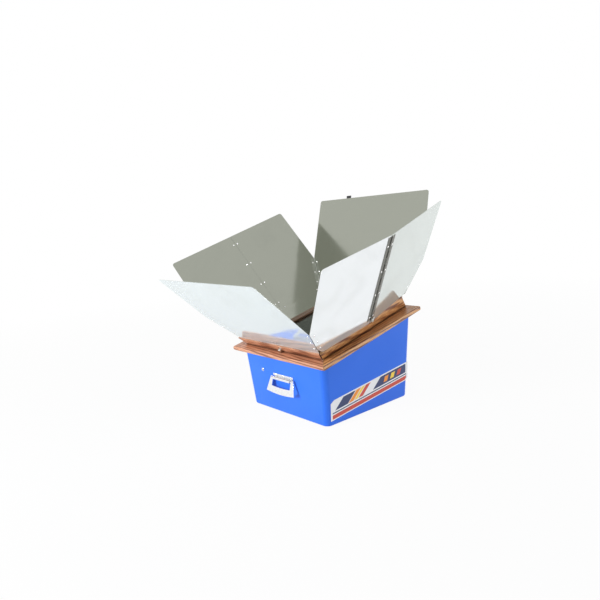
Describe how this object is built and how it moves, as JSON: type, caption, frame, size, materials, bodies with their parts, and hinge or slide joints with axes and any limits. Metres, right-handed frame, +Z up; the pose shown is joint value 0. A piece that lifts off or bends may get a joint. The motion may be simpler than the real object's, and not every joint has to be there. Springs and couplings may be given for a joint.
{
  "type": "solar oven",
  "caption": "Insulated box cooker with a glazed door, a swinging shelf and a folding ring of sheet reflectors above a wooden collar; drop handle in front, sliding leg behind.",
  "frame": {"origin": "middle of the case's flat base, on the ground", "axes": "+Z up, -Y toward the low side with the carrying handle, +X toward the plain side wall to its right"},
  "size_m": [0.815, 0.7612, 0.7238],
  "materials": {
    "case_blue": "glossy moulded blue",
    "flange_wood": "oiled reddish brown, grain along each side",
    "collar_wood": "oiled brown, darker toward the high end",
    "door_wood": "oiled brown",
    "door_glass": "clear tempered glass",
    "reflector_sheet": "polished anodised",
    "collar_lining": "polished anodised",
    "hinge_metal": "satin",
    "bracket_metal": "satin",
    "screw_metal": "bright, grooved",
    "oven_black": "matt black",
    "insulation_fibre": "matted fibre",
    "gasket_rubber": "soft black",
    "handle_chrome": "bright",
    "stud_metal": "bright",
    "strap_webbing": "black webbing",
    "latch_metal": "satin",
    "rack_wire": "bright wire",
    "leg_aluminium": "satin",
    "foot_rubber": "soft black",
    "plunger_steel": "satin"
  },
  "bodies": {
    "oven": {"case_shell": "case_blue", "oven_liner": "oven_black", "insulation": "insulation_fibre", "flange_low": "flange_wood", "flange_right": "flange_wood", "flange_high": "flange_wood", "flange_left": "flange_wood", "collar_low": "collar_wood", "collar_right": "collar_wood", "collar_left": "collar_wood", "collar_high": "collar_wood", "collar_lining_right": "collar_lining", "collar_lining_left": "collar_lining", "door_gasket": "gasket_rubber", "base_hinge_collar": "hinge_metal", "door_hinge_collar": "hinge_metal", "handle_plate": "handle_chrome", "snap_stud": "stud_metal", "leg_channel": "leg_aluminium"},
    "door": {"door_rail_low": "door_wood", "door_rail_high": "door_wood", "door_stile_left": "door_wood", "door_stile_right": "door_wood", "door_glass": "door_glass", "door_hinge_door": "hinge_metal"},
    "left turn button": {"door_latch_left": "latch_metal"},
    "right turn button": {"door_latch_right": "latch_metal"},
    "handle": {"handle_bail": "handle_chrome"},
    "leg": {"leg_bar": "leg_aluminium", "leg_foot": "foot_rubber"},
    "leg plunger": {"leg_plunger": "plunger_steel"},
    "swinging shelf": {"swing_rack": "rack_wire"},
    "low thumb screw": {"thumb_screw_low": "screw_metal"},
    "right thumb screw": {"thumb_screw_right": "screw_metal"},
    "left thumb screw": {"thumb_screw_left": "screw_metal"},
    "high petal": {"reflector_high": "reflector_sheet", "base_hinge_petal": "hinge_metal", "hinge_high_right_a": "hinge_metal", "hinge_high_left_a": "hinge_metal", "closing_strap": "strap_webbing"},
    "right petal high half": {"reflector_right_high": "reflector_sheet", "hinge_high_right_b": "hinge_metal", "hinge_right_high_half": "hinge_metal", "clip_right": "bracket_metal"},
    "right petal low half": {"reflector_right_low": "reflector_sheet", "hinge_right_low_half": "hinge_metal", "hinge_low_right_b": "hinge_metal"},
    "low petal": {"reflector_low": "reflector_sheet", "hinge_low_right_a": "hinge_metal", "hinge_low_left_a": "hinge_metal", "low_petal_tongue": "bracket_metal"},
    "left petal high half": {"reflector_left_high": "reflector_sheet", "hinge_high_left_b": "hinge_metal", "hinge_left_high_half": "hinge_metal", "clip_left": "bracket_metal"},
    "left petal low half": {"reflector_left_low": "reflector_sheet", "hinge_left_low_half": "hinge_metal", "hinge_low_left_b": "hinge_metal"}
  },
  "joints": [
    {"name": "reflector tilt back", "type": "hinge", "parent": "oven", "child": "high petal", "pos_m": [0, 0.18467, 0.36402], "axis": [-1, 0, 0], "range_deg": [0, 50]},
    {"name": "reflector fold", "type": "hinge", "parent": "high petal", "child": "right petal high half", "pos_m": [-0.00178, 0.0854, -0.04256], "axis": [-0.4508, -0.2117, -0.8672], "range_deg": [0, 98]},
    {"name": "right centre fold", "type": "hinge", "parent": "right petal high half", "child": "right petal low half", "pos_m": [0.00237, 0.08834, -0.04554], "axis": [0.5347, -0.2416, 0.8098], "range_deg": [0, 168.3]},
    {"name": "low petal fold", "type": "hinge", "parent": "right petal low half", "child": "low petal", "pos_m": [-0.00178, 0.08917, -0.04144], "axis": [-0.4508, 0.6522, -0.6095], "range_deg": [0, 98.2]},
    {"name": "left petal fold", "type": "hinge", "parent": "high petal", "child": "left petal high half", "pos_m": [0.00193, 0.08542, -0.04249], "axis": [-0.4508, 0.2117, 0.8672], "range_deg": [0, 93.9]},
    {"name": "left centre fold", "type": "hinge", "parent": "left petal high half", "child": "left petal low half", "pos_m": [-0.00242, 0.08832, -0.04545], "axis": [0.505, 0.2467, -0.8271], "range_deg": [0, 160.4]},
    {"name": "door opening", "type": "hinge", "parent": "oven", "child": "door", "pos_m": [0, 0.17524, 0.32914], "axis": [1, 0, 0], "range_deg": [-100, 0]},
    {"name": "left turn button turn", "type": "hinge", "parent": "oven", "child": "left turn button", "pos_m": [-0.1, -0.18087, 0.24588], "axis": [0, 0.2215, -0.9751], "range_deg": [0, 90]},
    {"name": "right turn button turn", "type": "hinge", "parent": "oven", "child": "right turn button", "pos_m": [0.1, -0.18087, 0.24588], "axis": [0, 0.2215, -0.9751], "range_deg": [0, 90]},
    {"name": "handle swing", "type": "hinge", "parent": "oven", "child": "handle", "pos_m": [0.003, -0.21268, 0.1257], "axis": [-1, 0, 0], "range_deg": [0, 95]},
    {"name": "leg extension", "type": "slide", "parent": "oven", "child": "leg", "axis": [0, -0.0573, -0.9984], "range_m": [0, 0.112]},
    {"name": "leg plunger pull", "type": "slide", "parent": "oven", "child": "leg plunger", "axis": [0, 0.9984, -0.0573], "range_m": [0, 0.006], "stiffness_N_per_m": 300, "springref_m": -0.004},
    {"name": "shelf swing", "type": "hinge", "parent": "oven", "child": "swinging shelf", "pos_m": [0, 0.0082, 0.22392], "axis": [1, 0, 0], "range_deg": [-15, 15]},
    {"name": "low thumb screw turn", "type": "hinge", "parent": "oven", "child": "low thumb screw", "pos_m": [0.0093, -0.23032, 0.21223], "axis": [0, -0.6828, -0.7306], "continuous": true},
    {"name": "right thumb screw turn", "type": "hinge", "parent": "right petal high half", "child": "right thumb screw", "pos_m": [0.23372, -0.00569, 0.31109], "axis": [0.843, 0.2184, -0.4915], "continuous": true},
    {"name": "left thumb screw turn", "type": "hinge", "parent": "left petal high half", "child": "left thumb screw", "pos_m": [-0.2215, -0.00845, 0.31812], "axis": [-0.8631, 0.1444, -0.4839], "continuous": true}
  ],
  "couplings": [
    {"joint": "right centre fold", "follows": "reflector fold", "ratio": 1.715},
    {"joint": "low petal fold", "follows": "reflector fold", "ratio": 1},
    {"joint": "left petal fold", "follows": "reflector fold", "ratio": 0.956},
    {"joint": "left centre fold", "follows": "reflector fold", "ratio": 1.6348}
  ]
}
